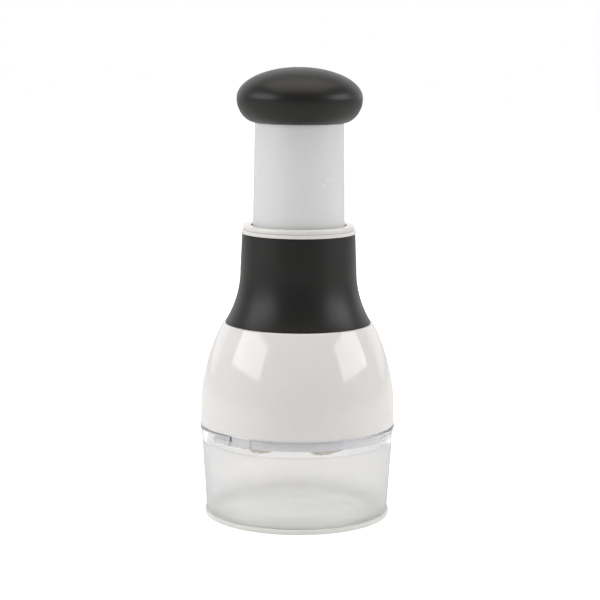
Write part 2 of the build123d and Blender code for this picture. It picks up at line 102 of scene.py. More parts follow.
def mix_colours(tree, factor, first=None, second=None):
    """A colour mix; each colour is a fixed tone, or None if it is linked later."""
    mix = tree.nodes.new("ShaderNodeMix")
    mix.data_type = "RGBA"
    for socket, tone in (("A", first), ("B", second)):
        if tone:
            mix.inputs[socket].default_value = (*tone, 1)
    tree.links.new(factor, mix.inputs["Factor"])
    return mix


def ramp(tree, value, start, end, low=0.0, high=1.0, smooth=False):
    """The value, mapped from start..end to low..high."""
    made = add(tree, "ShaderNodeMapRange")
    if smooth:
        made.interpolation_type = "SMOOTHSTEP"
    for label, number in (("From Min", start), ("From Max", end), ("To Min", low), ("To Max", high)):
        made.inputs[label].default_value = number
    tree.links.new(value, made.inputs["Value"])
    return made.outputs["Result"]


# %% [markdown]
# ## The studio
# Glossy plastic shows its surroundings, so the room matters as much as the lamps. The object
# stands on a white table in front of a white backdrop, with a darker room behind the camera and
# one large softbox high on each side. A background that depends only on direction stands in for
# the backdrop and the room. The softboxes are area lights: they give soft shading and the two
# bright panes that show on the bell. The table glows a little for the camera, as a white table
# does when it is lit from all round. For what is seen through the cup it has a painted glow,
# strongest straight under the object, where a real table would lie in shade.

# %% Table
TABLE_SIZE = 8.0
TABLE_WHITE = 0.8
TABLE_GLOW = 0.85            # what the camera sees of the lit table, over its own shade
TABLE_THROUGH = 0.5          # share of it that is seen through the cup
# painted glow: the table is brighter straight under the object, where a real table lies in shade
PAINTED_GLOW_UNDER = 1.15           # the same, straight under the object
PAINTED_GLOW_RADIUS = 0.05
TABLE_BOUNCE = 0.12          # what the lit table gives back to the object

bpy.ops.mesh.primitive_plane_add(size=TABLE_SIZE, location=(0, 0, 0))
table = bpy.context.object
table.name = "table"
table_paint = bpy.data.materials.new("table_paint")
table_paint.use_nodes = True
table_tree = table_paint.node_tree
table_shader = table_tree.nodes["Principled BSDF"]
table_shader.inputs["Base Color"].default_value = (TABLE_WHITE, TABLE_WHITE, TABLE_WHITE, 1)
table_shader.inputs["Roughness"].default_value = 0.6
table_glow = add(table_tree, "ShaderNodeEmission", Strength=TABLE_GLOW)
table_dim = add(table_tree, "ShaderNodeEmission", Strength=TABLE_BOUNCE)
table_ray = add(table_tree, "ShaderNodeLightPath")
table_place = add(table_tree, "ShaderNodeTexCoord")
table_reach = add(table_tree, "ShaderNodeVectorMath", operation="LENGTH")
table_seen = add(table_tree, "ShaderNodeMath", operation="MULTIPLY_ADD")
table_choose = add(table_tree, "ShaderNodeMixShader")
table_sum = add(table_tree, "ShaderNodeAddShader")
link = table_tree.links.new
link(table_place.outputs["Object"], table_reach.inputs[0])
# painted glow for what is seen through the cup, strongest under the object
painted_glow_share = ramp(table_tree, table_reach.outputs["Value"], PAINTED_GLOW_RADIUS, PAINTED_GLOW_RADIUS * 1.2,
                  low=PAINTED_GLOW_UNDER, high=TABLE_THROUGH)
link(table_ray.outputs["Is Transmission Ray"], table_seen.inputs[0])
link(painted_glow_share, table_seen.inputs[1])
link(table_ray.outputs["Is Camera Ray"], table_seen.inputs[2])
link(table_seen.outputs[0], table_choose.inputs["Fac"])
link(table_dim.outputs[0], table_choose.inputs[1])
link(table_glow.outputs[0], table_choose.inputs[2])
link(table_shader.outputs[0], table_sum.inputs[0])
link(table_choose.outputs[0], table_sum.inputs[1])
link(table_sum.outputs[0], table_tree.nodes["Material Output"].inputs["Surface"])
table.data.materials.append(table_paint)
print("table:", TABLE_SIZE, "m")

# %% Room and backdrop
ROOM_GREY = (0.28, 0.28, 0.28)
BACKDROP_WHITE = (1.1, 1.1, 1.12)
BACKDROP_EDGE = 0.574         # cosine of 55 degrees: how far it reaches to each side of the middle
EDGE_SOFT = 0.06
BACKDROP_TOP = 0.62           # sine of 38 degrees: how far up it reaches
TOP_SOFT = 0.1

world = bpy.data.worlds.new("studio")
bpy.context.scene.world = world
world.use_nodes = True
room = world.node_tree
room.nodes.clear()
direction = add(room, "ShaderNodeTexCoord")
split = add(room, "ShaderNodeSeparateXYZ")
room.links.new(direction.outputs["Generated"], split.inputs[0])
behind = ramp(room, split.outputs["Y"], BACKDROP_EDGE - EDGE_SOFT, BACKDROP_EDGE + EDGE_SOFT, smooth=True)
below_top = ramp(room, split.outputs["Z"], BACKDROP_TOP - TOP_SOFT, BACKDROP_TOP + TOP_SOFT,
                 low=1.0, high=0.0, smooth=True)
sheet = add(room, "ShaderNodeMath", operation="MULTIPLY")
room.links.new(behind, sheet.inputs[0])
room.links.new(below_top, sheet.inputs[1])
walls = mix_colours(room, sheet.outputs[0], ROOM_GREY, BACKDROP_WHITE)
around_light = add(room, "ShaderNodeBackground")
seen_white = add(room, "ShaderNodeBackground", Color=(1, 1, 1, 1))
ray = add(room, "ShaderNodeLightPath")
choose = add(room, "ShaderNodeMixShader")
world_out = add(room, "ShaderNodeOutputWorld")
room.links.new(walls.outputs["Result"], around_light.inputs["Color"])
room.links.new(ray.outputs["Is Camera Ray"], choose.inputs["Fac"])
room.links.new(around_light.outputs[0], choose.inputs[1])
room.links.new(seen_white.outputs[0], choose.inputs[2])
room.links.new(choose.outputs[0], world_out.inputs["Surface"])
print("backdrop reaches", BACKDROP_EDGE, "and", BACKDROP_TOP)

# %% Softboxes
SOFTBOX_AIM = Vector((0, 0, 0.085))


def softbox(name, azimuth, elevation, distance, width, height, watts, tint=(1, 1, 1)):
    """An area light that faces the object. Its azimuth runs from -Y towards +X; angles in degrees."""
    turn = radians(azimuth)
    rise = radians(elevation)
    way = Vector((sin(turn) * cos(rise), -cos(turn) * cos(rise), sin(rise)))
    data = bpy.data.lights.new(name, "AREA")
    data.shape = "RECTANGLE"
    data.size = width
    data.size_y = height
    data.energy = watts
    data.color = tint
    lamp = bpy.data.objects.new(name, data)
    bpy.context.scene.collection.objects.link(lamp)
    lamp.location = SOFTBOX_AIM + way * distance
    lamp.rotation_euler = way.to_track_quat("Z", "Y").to_euler()
    lamp.visible_camera = False
    return lamp


softbox("left_softbox", azimuth=-71, elevation=25, distance=0.95, width=0.78, height=0.38, watts=3.9)
softbox("right_softbox", azimuth=79, elevation=23, distance=0.95, width=0.72, height=0.38, watts=3.4)
softbox("top_softbox", azimuth=0, elevation=89, distance=1.15, width=1.4, height=1.2, watts=9.5,
        tint=(1, 0.94, 0.84))

# %% [markdown]
# ## Turning round pieces
# Nearly every visible piece is round, as if it came off a lathe. The outline of one side is drawn
# as a chain of points, by extruding a single point from corner to corner, and is then spun about
# the upright axis. That gives exact roundness and one clean row of faces for each stretch of the
# outline. A cylinder with scaled rings would work too, but the outline keeps all the sizes of a
# piece in one short list.

# %% Helpers for turned pieces
ROUND_STEPS = 192
GLOSS_STEPS = 240            # more of them where a gloss would show the facets
SMOOTH_BELOW = 30            # degrees: edges flatter than this are shaded smooth
MERGE_WITHIN = 0.002 * MM


def clear_selection():
    if bpy.context.object and bpy.context.object.mode != "OBJECT":
        bpy.ops.object.mode_set(mode="OBJECT")
    bpy.ops.object.select_all(action="DESELECT")


def finish_mesh(piece, name, smooth_below=SMOOTH_BELOW):
    """Merge, face outwards, put the place into the mesh and smooth all but the sharp edges."""
    bpy.ops.object.mode_set(mode="EDIT")
    bpy.ops.mesh.select_all(action="SELECT")
    bpy.ops.mesh.remove_doubles(threshold=MERGE_WITHIN)
    bpy.ops.mesh.normals_make_consistent(inside=False)
    bpy.ops.object.mode_set(mode="OBJECT")
    bpy.ops.object.transform_apply(location=True, rotation=True, scale=True)
    bpy.ops.object.shade_smooth_by_angle(angle=radians(smooth_below))
    piece.name = name
    piece.data.name = name
    return piece


def lathe(name, outline, steps=ROUND_STEPS):
    """Spin an outline of (radius, height) points all the way round."""
    clear_selection()
    radius, height = outline[0]
    bpy.ops.mesh.primitive_plane_add(size=MM, location=(radius, 0, height))
    piece = bpy.context.object
    bpy.ops.object.mode_set(mode="EDIT")
    bpy.ops.mesh.select_mode(type="VERT")
    bpy.ops.mesh.select_all(action="SELECT")
    bpy.ops.mesh.merge(type="CENTER")
    for here, there in zip(outline, outline[1:]):
        move = (there[0] - here[0], 0, there[1] - here[1])
        bpy.ops.mesh.extrude_vertices_move(TRANSFORM_OT_translate={"value": move})
    bpy.ops.mesh.select_all(action="SELECT")
    bpy.ops.mesh.spin(steps=steps, angle=2 * pi, center=(0, 0, 0), axis=(0, 0, 1))
    finish_mesh(piece, name)
    print(name, "faces:", len(piece.data.polygons))
    return piece


def round_rims(piece, places, width, segments=4):
    """Bevel the ring edges at the given (radius, height) places."""
    near = 0.02 * MM
    points = [v.co for v in piece.data.vertices]

    def at_place(index, radius, height):
        point = points[index]
        return abs(hypot(point.x, point.y) - radius) < near and abs(point.z - height) < near

    clear_selection()
    piece.select_set(True)
    bpy.context.view_layer.objects.active = piece
    bpy.ops.object.mode_set(mode="EDIT")
    bpy.ops.mesh.select_mode(type="EDGE")
    bpy.ops.mesh.select_all(action="DESELECT")
    bpy.ops.object.mode_set(mode="OBJECT")
    picked = 0
    for bar in piece.data.edges:
        if any(all(at_place(i, *place) for i in bar.vertices) for place in places):
            bar.select = True
            picked += 1
    bpy.ops.object.mode_set(mode="EDIT")
    bpy.ops.mesh.bevel(offset=width, segments=segments, affect="EDGES")
    bpy.ops.object.mode_set(mode="OBJECT")
    bpy.ops.object.shade_smooth_by_angle(angle=radians(SMOOTH_BELOW))
    print(piece.name, "rounded edges:", picked)


def curve(radius_at, low, high, count):
    """Points on a curved side, from one height to another."""
    heights = [low + (high - low) * i / count for i in range(count + 1)]
    return [(radius_at(z), z) for z in heights]


# %% [markdown]
# ## Shared effects
# Three effects come back in several finishes, so each is a node group with its own inputs. Fine
# grain is the matt pebble that a mould leaves on soft plastic. Flow is the broad, faint unevenness
# of a moulded wall. Handling is the soft blotching of a surface that has been held and wiped.


# %% Starting a node group
def new_group(name, inputs, outputs):
    """An empty node group with float inputs (with defaults) and float outputs."""
    group = bpy.data.node_groups.new(name, "ShaderNodeTree")
    for label, value in inputs.items():
        socket = group.interface.new_socket(name=label, in_out="INPUT", socket_type="NodeSocketFloat")
        socket.default_value = value
    for label in outputs:
        group.interface.new_socket(name=label, in_out="OUTPUT", socket_type="NodeSocketFloat")
    return group, group.nodes.new("NodeGroupInput"), group.nodes.new("NodeGroupOutput")


# %% Fine grain
grain_group, grain_in, grain_out = new_group("fine_grain", {"Scale": 2500.0}, ["Height"])
place = grain_group.nodes.new("ShaderNodeTexCoord")
pebbles = grain_group.nodes.new("ShaderNodeTexVoronoi")
pebbles.feature = "SMOOTH_F1"
speckle = add(grain_group, "ShaderNodeTexNoise", Detail=2.0, Roughness=0.6)
grain_sum = grain_group.nodes.new("ShaderNodeMix")
grain_sum.inputs["Factor"].default_value = 0.5
grain_group.links.new(place.outputs["Object"], pebbles.inputs["Vector"])
grain_group.links.new(place.outputs["Object"], speckle.inputs["Vector"])
grain_group.links.new(grain_in.outputs["Scale"], pebbles.inputs["Scale"])
grain_group.links.new(grain_in.outputs["Scale"], speckle.inputs["Scale"])
grain_group.links.new(pebbles.outputs["Distance"], grain_sum.inputs["A"])
grain_group.links.new(speckle.outputs["Fac"], grain_sum.inputs["B"])
grain_group.links.new(grain_sum.outputs["Result"], grain_out.inputs["Height"])

# %% Flow of a moulded wall
flow_group, flow_in, flow_out = new_group("mould_flow", {"Scale": 60.0}, ["Height"])
flow_place = flow_group.nodes.new("ShaderNodeTexCoord")
flow_noise = add(flow_group, "ShaderNodeTexNoise", Detail=2.0, Roughness=0.4)
flow_group.links.new(flow_place.outputs["Object"], flow_noise.inputs["Vector"])
flow_group.links.new(flow_in.outputs["Scale"], flow_noise.inputs["Scale"])
flow_group.links.new(flow_noise.outputs["Fac"], flow_out.inputs["Height"])

# %% Handling marks
handling_group, handling_in, handling_out = new_group(
    "handling", {"Scale": 45.0, "Low": 0.4, "High": 0.5}, ["Value"]
)
handling_place = handling_group.nodes.new("ShaderNodeTexCoord")
blotches = add(handling_group, "ShaderNodeTexNoise", Detail=5.0, Roughness=0.62, Distortion=0.4)
spread = add(handling_group, "ShaderNodeMapRange", From_Min=0.3, From_Max=0.7)
handling_group.links.new(handling_place.outputs["Object"], blotches.inputs["Vector"])
handling_group.links.new(handling_in.outputs["Scale"], blotches.inputs["Scale"])
handling_group.links.new(blotches.outputs["Fac"], spread.inputs["Value"])
handling_group.links.new(handling_in.outputs["Low"], spread.inputs["To Min"])
handling_group.links.new(handling_in.outputs["High"], spread.inputs["To Max"])
handling_group.links.new(spread.outputs["Result"], handling_out.inputs["Value"])
print("effects:", [g.name for g in bpy.data.node_groups])


# %% [markdown]
# ## The finishes
# Each finish is one material. Its colour and roughness vary a little over the surface, and a very
# shallow bump gives the texture that a finger would feel. Numbers that are the same all over are
# set straight on the shader.


# %% One way to start a finish
def finish(name, settings):
    """A material with a Principled shader, and the shader itself."""
    material = bpy.data.materials.new(name)
    material.use_nodes = True
    shader = material.node_tree.nodes["Principled BSDF"]
    for label, value in settings.items():
        shader.inputs[label].default_value = value
    return material, material.node_tree, shader


def use_group(tree, group, **values):
    """A shared effect, placed in a finish."""
    placed = tree.nodes.new("ShaderNodeGroup")
    placed.node_tree = group
    for key, value in values.items():
        placed.inputs[key.replace("_", " ")].default_value = value
    return placed


def two_tones(tree, shader, factor, dark, light):
    """Base colour that drifts between two close tones."""
    tones = mix_colours(tree, factor, dark, light)
    tree.links.new(tones.outputs["Result"], shader.inputs["Base Color"])
    return tones


def bump(tree, shader, height, distance, strength=1.0, after=None):
    """Bump of a real depth in metres; it can follow another bump."""
    made = add(tree, "ShaderNodeBump", Strength=strength, Distance=distance)
    tree.links.new(height, made.inputs["Height"])
    if after:
        tree.links.new(after.outputs["Normal"], made.inputs["Normal"])
    tree.links.new(made.outputs["Normal"], shader.inputs["Normal"])
    return made


def moulded(name, dark, light, rough, grain, grain_depth, flow_depth, settings=None):
    """Moulded plastic or rubber: two close tones, uneven roughness, grain and flow."""
    material, tree, shader = finish(name, settings or {})
    blotch = use_group(tree, handling_group, Low=0.0, High=1.0)
    two_tones(tree, shader, blotch.outputs["Value"], dark, light)
    sheen_spread = use_group(tree, handling_group, Scale=70.0, Low=rough[0], High=rough[1])
    tree.links.new(sheen_spread.outputs["Value"], shader.inputs["Roughness"])
    flow = bump(tree, shader, use_group(tree, flow_group).outputs["Height"], flow_depth)
    pebble = use_group(tree, grain_group, Scale=grain)
    bump(tree, shader, pebble.outputs["Height"], grain_depth, after=flow)
    return material


# %% Soft black rubber
soft_black = moulded(
    "soft_black_rubber", (0.007, 0.007, 0.0068), (0.010, 0.0098, 0.0094), (0.36, 0.44),
    grain=3200.0, grain_depth=0.012 * MM, flow_depth=0.15 * MM,
    settings={"Specular IOR Level": 0.34, "Sheen Weight": 0.02, "Sheen Roughness": 0.4,
              "Sheen Tint": (1, 0.93, 0.82, 1)},
)

# %% White gloss for the bell and the collar
white_gloss = moulded(
    "white_gloss", (0.738, 0.725, 0.722), (0.758, 0.746, 0.744), (0.07, 0.12),
    grain=900.0, grain_depth=0.0008 * MM, flow_depth=0.03 * MM,
    settings={"Specular IOR Level": 0.44, "Subsurface Weight": 0.08, "Subsurface Scale": 2 * MM,
              "Subsurface Radius": (1.0, 0.9, 0.8)},
)

# %% Cooler satin white for the tube
white_satin = moulded(
    "white_satin", (0.708, 0.712, 0.726), (0.710, 0.714, 0.728), (0.265, 0.275),
    grain=1500.0, grain_depth=0.0006 * MM, flow_depth=0.002 * MM,
)

# %% Brighter white for the skirt, which is seen through the cup: painted light over its shade
skirt_painted_bright = moulded(
    "skirt_painted_bright", (0.90, 0.90, 0.89), (0.93, 0.93, 0.92), (0.25, 0.35),
    grain=1500.0, grain_depth=0.002 * MM, flow_depth=0.02 * MM,
)

# %% Plain moulded white for the pieces inside
white_moulded = moulded(
    "white_moulded", (0.70, 0.70, 0.68), (0.76, 0.76, 0.74), (0.4, 0.55),
    grain=1800.0, grain_depth=0.01 * MM, flow_depth=0.1 * MM,
)

# %% Slippery bearing plastic
bearing_plastic = moulded(
    "bearing_plastic", (0.60, 0.58, 0.50), (0.66, 0.64, 0.57), (0.3, 0.4),
    grain=1500.0, grain_depth=0.004 * MM, flow_depth=0.05 * MM,
)

# %% [markdown]
# ### Clear and frosted plastic
# The cup is one moulding with two finishes: the band round its rim is polished clear, and the
# wall below it is frosted and milky. Clear plastic is a transmitting shader with hardly any
# roughness. The frosted part is a mixture: about a third of the light is scattered back by a pale
# surface, and the rest goes through a rough one and lights the inside. Its index of refraction is
# set low, because a milky wall bends light far less than it spreads it. The base is the same
# plastic: its lip passes little light, and its thin floor and its soft foot pass more.

# %% Painted shade on a wall where it is seen along its length
EDGE_BLEND = 0.4


def paint_edge_shade(tree, shader, tone, painted_edge_shade, sharpness):
    """Clear and milky walls look thicker towards their outline, so a painted shade darkens the tone there.
    """
    facing = add(tree, "ShaderNodeLayerWeight", Blend=EDGE_BLEND)
    share = add(tree, "ShaderNodeMath", operation="POWER")
    share.inputs[1].default_value = sharpness
    tree.links.new(facing.outputs["Facing"], share.inputs[0])
    outline_shade = mix_colours(tree, share.outputs[0], second=painted_edge_shade)
    tree.links.new(tone, outline_shade.inputs["A"])
    tree.links.new(outline_shade.outputs["Result"], shader.inputs["Base Color"])


# %% Clear band
CLEAR_IOR = 1.46

clear_band, clear_tree, clear_shader = finish("clear_band", {"Transmission Weight": 1.0, "IOR": CLEAR_IOR})
clear_blotch = use_group(clear_tree, handling_group, Low=0.0, High=1.0)
clear_tones = two_tones(clear_tree, clear_shader, clear_blotch.outputs["Value"],
                        (0.972, 0.972, 0.995), (0.978, 0.978, 0.998))
paint_edge_shade(clear_tree, clear_shader, clear_tones.outputs["Result"], (0.5, 0.5, 0.58), sharpness=3.0)
clear_rough = use_group(clear_tree, handling_group, Scale=70.0, Low=0.05, High=0.09)
clear_tree.links.new(clear_rough.outputs["Value"], clear_shader.inputs["Roughness"])
bump(clear_tree, clear_shader, use_group(clear_tree, flow_group).outputs["Height"], 0.03 * MM)

# %% Rim of the clear band: partly the plastic's own bluish tint seen along the wall, partly painted shade
rim_painted_shade, rim_tree, rim_shader = finish("clear_rim_painted_shade", {
    "Base Color": (0.66, 0.66, 0.76, 1), "Transmission Weight": 1.0, "IOR": CLEAR_IOR,
})
rim_rough = use_group(rim_tree, handling_group, Scale=70.0, Low=0.12, High=0.2)
rim_tree.links.new(rim_rough.outputs["Value"], rim_shader.inputs["Roughness"])
bump(rim_tree, rim_shader, use_group(rim_tree, flow_group).outputs["Height"], 0.03 * MM)

# %% Frosted wall and base
MILKY_IOR = 1.1


def frosted(name, dark, light, painted_edge_shade, milky_pass):
    """Milky plastic; a painted edge shade shows where the wall is seen along its length."""
    material, tree, shader = finish(name, {"Transmission Weight": milky_pass, "IOR": MILKY_IOR})
    blotch = use_group(tree, handling_group, Scale=30.0, Low=0.0, High=1.0)
    tones = two_tones(tree, shader, blotch.outputs["Value"], dark, light)
    paint_edge_shade(tree, shader, tones.outputs["Result"], painted_edge_shade, sharpness=1.0)
    rough = use_group(tree, handling_group, Scale=60.0, Low=0.36, High=0.44)
    tree.links.new(rough.outputs["Value"], shader.inputs["Roughness"])
    flow = bump(tree, shader, use_group(tree, flow_group).outputs["Height"], 0.08 * MM)
    etched = use_group(tree, grain_group, Scale=4000.0)
    bump(tree, shader, etched.outputs["Height"], 0.006 * MM, after=flow)
    return material


frosted_wall = frosted(
    "frosted_wall", (0.98, 0.98, 0.97), (1.0, 1.0, 0.99), painted_edge_shade=(0.84, 0.84, 0.87), milky_pass=0.64,
)
milky_foot = frosted(
    "milky_foot", (0.93, 0.935, 0.92), (0.95, 0.955, 0.94), painted_edge_shade=(0.92, 0.925, 0.91), milky_pass=0.7,
)
milky_floor = frosted(
    "milky_floor", (0.96, 0.965, 0.95), (0.98, 0.985, 0.97), painted_edge_shade=(0.96, 0.965, 0.95), milky_pass=0.72,
)
frosted_base = frosted(
    "frosted_base", (0.86, 0.875, 0.845), (0.89, 0.905, 0.875), painted_edge_shade=(0.84, 0.855, 0.83),
    milky_pass=0.12,
)


# %% [markdown]
# ### Steel
# The blades are rolled strip with fine lines along their length, and the screws and the spindle
# are turned and bright. Both are metals. The lines come from a noise that is stretched along one
# direction, so that it reads as brushing.


# %% Steels
def steel(name, tone, stretch, rough, depth):
    """Metal with fine lines; the stretch says how close they lie along each axis."""
    material, tree, shader = finish(name, {"Metallic": 1.0})
    where = tree.nodes.new("ShaderNodeTexCoord")
    mapping = add(tree, "ShaderNodeMapping", Scale=stretch)
    lines = add(tree, "ShaderNodeTexNoise", Scale=1.0, Detail=3.0, Roughness=0.6)
    tree.links.new(where.outputs["Object"], mapping.inputs["Vector"])
    tree.links.new(mapping.outputs["Vector"], lines.inputs["Vector"])
    two_tones(tree, shader, lines.outputs["Fac"], [t * 0.88 for t in tone], tone)
    wiped = use_group(tree, handling_group, Scale=90.0, Low=rough[0], High=rough[1])
    tree.links.new(wiped.outputs["Value"], shader.inputs["Roughness"])
    bump(tree, shader, lines.outputs["Fac"], depth)
    return material


blade_steel = steel("blade_steel_brushed", tone=(0.60, 0.56, 0.50), stretch=(150, 150, 6000),
                    rough=(0.22, 0.34), depth=0.004 * MM)
bright_steel = steel("bright_steel_turned", tone=(0.66, 0.66, 0.66), stretch=(900, 900, 3000),
                     rough=(0.15, 0.25), depth=0.002 * MM)

# %% Finishes on the pieces that keep their own shape
KEPT = {
    "inner_guide": white_moulded, "blade_carrier": white_moulded, "carriage_crown": white_moulded,
    "index_ring": white_moulded, "knob_core": white_moulded, "neck_bush": bearing_plastic,
    "spindle_bushes": bearing_plastic, "tube_stop": bearing_plastic, "base_foot": milky_foot,
    "blade_front": blade_steel, "blade_back": blade_steel, "blade_clamp": blade_steel,
    "spindle": bright_steel, "blade_rivets": bright_steel, "guide_screws": bright_steel,
    "knob_screw": bright_steel, "spring_washer": bright_steel, "retaining_ring": bright_steel,
    "end_nut": bright_steel,
}
for node_name, material in KEPT.items():
    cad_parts[node_name].data.materials[0] = material
print("kept as they are:", len(KEPT))


# %% [markdown]
# ## The knob
# The knob is a soft cap moulded over a hard core. Seen from the side it is a flattened dome: an
# ellipse above the widest line and a rounder, narrower curve below it. A fine parting line runs
# round the widest line where the two halves of the mould met. A shallow plain dimple marks the
# middle of the top.

# %% Knob sizes
KNOB_CROWN = 14.7 * MM
KNOB_BELLY = 11.8 * MM
KNOB_EDGE = 9.75 * MM
CROWN_SWEEP = radians(86)
PARTING_DEPTH = 0.12 * MM
PARTING_WIDTH = 0.3 * MM
DIMPLE_RADIUS = 2.4 * MM
DIMPLE_DEPTH = 0.35 * MM
TUBE_HOLE = 21.45 * MM
CORE_GAP = 0.1 * MM
CORE_ROUND = 2 * MM
CROWN_STEPS = 40
BELLY_STEPS = 28

knob_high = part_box("knob_grip")[1]
core_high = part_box("knob_core")[1]
tube_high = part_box("plunger_tube")[1]
KNOB_RADIUS = knob_high.x
EQUATOR = knob_high.z - KNOB_CROWN * sin(CROWN_SWEEP)
CORE_SHOULDER = tube_high.z
CORE_RADIUS = core_high.x
print("widest line of the knob at", round(EQUATOR / MM, 1), "mm")


# %% Knob
def knob_outline():
    """From the dimple over the crown, the parting line and the belly to the hollow for the core."""
    dimple = [(0, knob_high.z - DIMPLE_DEPTH), (DIMPLE_RADIUS * 0.5, knob_high.z - DIMPLE_DEPTH * 0.8)]
    crown = []
    for i in range(1, CROWN_STEPS + 1):
        turn = pi / 2 * (1 - i / CROWN_STEPS)
        crown.append((KNOB_RADIUS * cos(turn), EQUATOR + KNOB_CROWN * sin(turn)))
    crown = [point for point in crown if point[0] > DIMPLE_RADIUS]
    crown[-1] = (KNOB_RADIUS, EQUATOR + PARTING_WIDTH / 2)
    groove = [(KNOB_RADIUS - PARTING_DEPTH, EQUATOR), (KNOB_RADIUS, EQUATOR - PARTING_WIDTH / 2)]
    edge_centre = KNOB_RADIUS - KNOB_EDGE
    reach = (TUBE_HOLE - edge_centre) / KNOB_EDGE
    last = atan2(sqrt(1 - reach**2), reach)
    belly = []
    for i in range(1, BELLY_STEPS + 1):
        turn = last * i / BELLY_STEPS
        belly.append((edge_centre + KNOB_EDGE * cos(turn), EQUATOR - KNOB_BELLY * sin(turn)))
    inside = CORE_RADIUS + CORE_GAP
    hollow = [
        (TUBE_HOLE, CORE_SHOULDER - CORE_GAP),
        (inside - CORE_ROUND, CORE_SHOULDER - CORE_GAP),
        (inside, CORE_SHOULDER + CORE_ROUND),
        (inside, core_high.z - CORE_ROUND),
        (inside - CORE_ROUND, core_high.z + CORE_GAP),
        (0, core_high.z + CORE_GAP),
    ]
    return dimple + crown + groove + belly + hollow


knob_cap = lathe("knob_cap", knob_outline())
knob_cap.data.materials.append(soft_black)
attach(knob_cap, "plunger")
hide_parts("knob_grip")

# %% [markdown]
# ## The grip
# The grip is a rubber sleeve over the neck. It is nearly straight at the top and flares out in
# one smooth hollow curve, so that a hand slides down onto it and stops. The curve is an arc with
# its centre outside the object.

# %% Grip sizes
FLARE_RADIUS = 48.1 * MM
WAIST_DROP = 17.8 * MM
GRIP_TOP_RADIUS = 27.29 * MM
WAIST_FLARE = 0.78 * MM
GRIP_WALL = 1.99 * MM
GRIP_FIT = 0.03 * MM

grip_low, grip_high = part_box("grip_sleeve")
WAIST = grip_high.z - WAIST_DROP
FLARE_CENTRE = GRIP_TOP_RADIUS + WAIST_FLARE + FLARE_RADIUS


def flare(height, inset=0.0):
    """Radius of the flared side, or of the surface a given depth under it."""
    return FLARE_CENTRE - sqrt((FLARE_RADIUS + inset) ** 2 - (WAIST - height) ** 2)


# %% Grip
grip_outline = [(GRIP_TOP_RADIUS - GRIP_WALL, grip_high.z), (GRIP_TOP_RADIUS, grip_high.z)]
grip_outline += curve(flare, WAIST, grip_low.z, count=28)
grip_outline += curve(lambda z: flare(z, GRIP_WALL), grip_low.z, WAIST, count=14)
grip_outline.append(grip_outline[0])
grip_cover = lathe("grip_cover", grip_outline)
round_rims(grip_cover, [(flare(grip_low.z), grip_low.z)], width=0.9 * MM, segments=5)
round_rims(grip_cover, [(GRIP_TOP_RADIUS, grip_high.z)], width=0.5 * MM, segments=3)
grip_cover.data.materials.append(soft_black)
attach(grip_cover, "housing")
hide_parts("grip_sleeve")

# %% [markdown]
# ## The collar and the tube
# A white ring in two steps closes the neck, with a fine dark line between the steps. The plunger
# tube runs through it with a small gap, which shows as shade at both sides. The tube is not quite
# straight: a moulding tapers a little, so that it comes out of its mould.

# %% Collar
COLLAR_LOW_RADIUS = 27.58 * MM
COLLAR_STEP = 0.8 * MM
COLLAR_GROOVE = 0.35 * MM
COLLAR_BORE = 23.1 * MM
COLLAR_SOCKET = 23.6 * MM
SOCKET_DEPTH = 1.3 * MM

collar_low, collar_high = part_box("neck_collar")
collar_middle = (collar_low.z + collar_high.z) / 2
lower_top = collar_middle - COLLAR_GROOVE
socket_top = collar_low.z + SOCKET_DEPTH
upper = COLLAR_LOW_RADIUS - COLLAR_STEP
collar_outline = [
    (COLLAR_SOCKET, collar_low.z), (COLLAR_LOW_RADIUS, collar_low.z), (COLLAR_LOW_RADIUS, lower_top),
    (upper - COLLAR_GROOVE, lower_top), (upper - COLLAR_GROOVE, collar_middle), (upper, collar_middle),
    (upper, collar_high.z), (COLLAR_BORE, collar_high.z), (COLLAR_BORE, socket_top),
    (COLLAR_SOCKET, socket_top), (COLLAR_SOCKET, collar_low.z),
]
neck_ring = lathe("neck_ring", collar_outline)
round_rims(neck_ring, [(upper, collar_high.z)], width=0.7 * MM)
round_rims(neck_ring, [(COLLAR_LOW_RADIUS, lower_top)], width=0.45 * MM)
round_rims(neck_ring, [(COLLAR_BORE, collar_high.z)], width=0.3 * MM, segments=2)
neck_ring.data.materials.append(white_gloss)
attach(neck_ring, "housing")
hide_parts("neck_collar")

# %% Tube
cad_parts["plunger_tube"].data.materials[0] = white_satin
print("tube keeps its own shape")

# %% [markdown]
# ## The bell
# The bell is the housing: a glossy white shoulder that runs up under the grip, and a thin skirt
# below that turns into the cup. Its shoulder is one large arc. Gloss shows every dent, so the arc
# gets many rows of faces. Three small lugs on the skirt lock into the cup.

# %% Bell sizes
BELL_STRAIGHT = 5.8 * MM
BELL_WALL = 2.5 * MM
RIM_GAP = 0.15 * MM
NECK_WALL = 1.65 * MM
SHELF_MARGIN = 0.65 * MM
SKIRT_WALL = 2.2 * MM
SKIRT_RADIUS = 44.32 * MM

bell_low, bell_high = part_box("housing_bell")
cup_low, cup_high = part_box("cup")
BELL_RADIUS = bell_high.x
BEAD_RADIUS = min(-cup_low.x, -cup_low.y, cup_high.x, cup_high.y)
STRAIGHT_TOP = cup_high.z + BELL_STRAIGHT
SHELF = grip_low.z
SHELF_RADIUS = flare(SHELF) + SHELF_MARGIN
BELL_RUN = BELL_RADIUS - SHELF_RADIUS
BELL_ARC = (BELL_RUN**2 + (SHELF - STRAIGHT_TOP) ** 2) / (2 * BELL_RUN)
NECK_TOP = GRIP_TOP_RADIUS - GRIP_WALL - GRIP_FIT
print("shoulder arc:", round(BELL_ARC / MM, 1), "mm")


def shoulder(height, inset=0.0):
    """Radius of the bell's shoulder, or of the surface a given depth under it."""
    return BELL_RADIUS - BELL_ARC + sqrt((BELL_ARC - inset) ** 2 - (height - STRAIGHT_TOP) ** 2)


